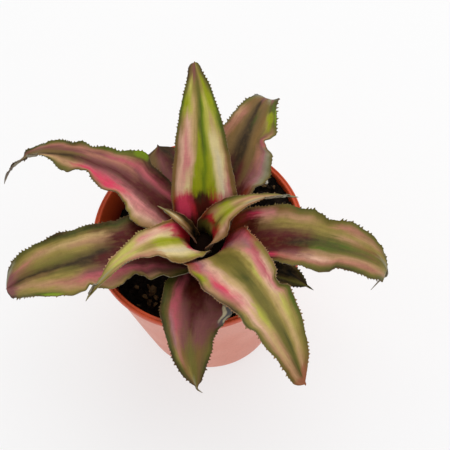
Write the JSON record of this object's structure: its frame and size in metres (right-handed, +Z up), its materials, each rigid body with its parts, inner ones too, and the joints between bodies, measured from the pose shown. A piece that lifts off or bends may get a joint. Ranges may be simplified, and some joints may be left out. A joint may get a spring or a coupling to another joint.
{
  "type": "potted earth star bromeliad",
  "caption": "Flat rosette of striped, wavy, tooth-edged bromeliad leaves, rooted in dark soil in a tapered plastic nursery pot with a narrow rim.",
  "frame": {"origin": "centre of the pot's flat foot, on the surface that it stands on", "axes": "+Z up along the pot's axis, +Y towards the tall upright leaf, +X towards the broad leaf on its right"},
  "size_m": [0.1578, 0.1407, 0.128],
  "materials": {
    "pot_plastic": "satin terracotta-coloured moulded plastic",
    "potting_soil": "damp dark potting mix with bark crumbs",
    "stem": "pale short stem, matt",
    "young_leaf": "satin, yellow-green with cream and pink flanks",
    "mature_leaf": "satin, olive centre stripe with tan and pink flanks",
    "old_leaf": "satin, dark olive and purple-brown"
  },
  "bodies": {
    "root": {"pot": "pot_plastic", "soil": "potting_soil", "crown_stem": "stem", "leaf_01": "young_leaf", "leaf_02": "young_leaf", "leaf_03": "young_leaf", "leaf_04": "mature_leaf", "leaf_05": "mature_leaf", "leaf_06": "mature_leaf", "leaf_07": "mature_leaf", "leaf_08": "mature_leaf", "leaf_09": "old_leaf", "leaf_10": "old_leaf", "leaf_11": "old_leaf", "leaf_12": "old_leaf"}
  },
  "joints": []
}
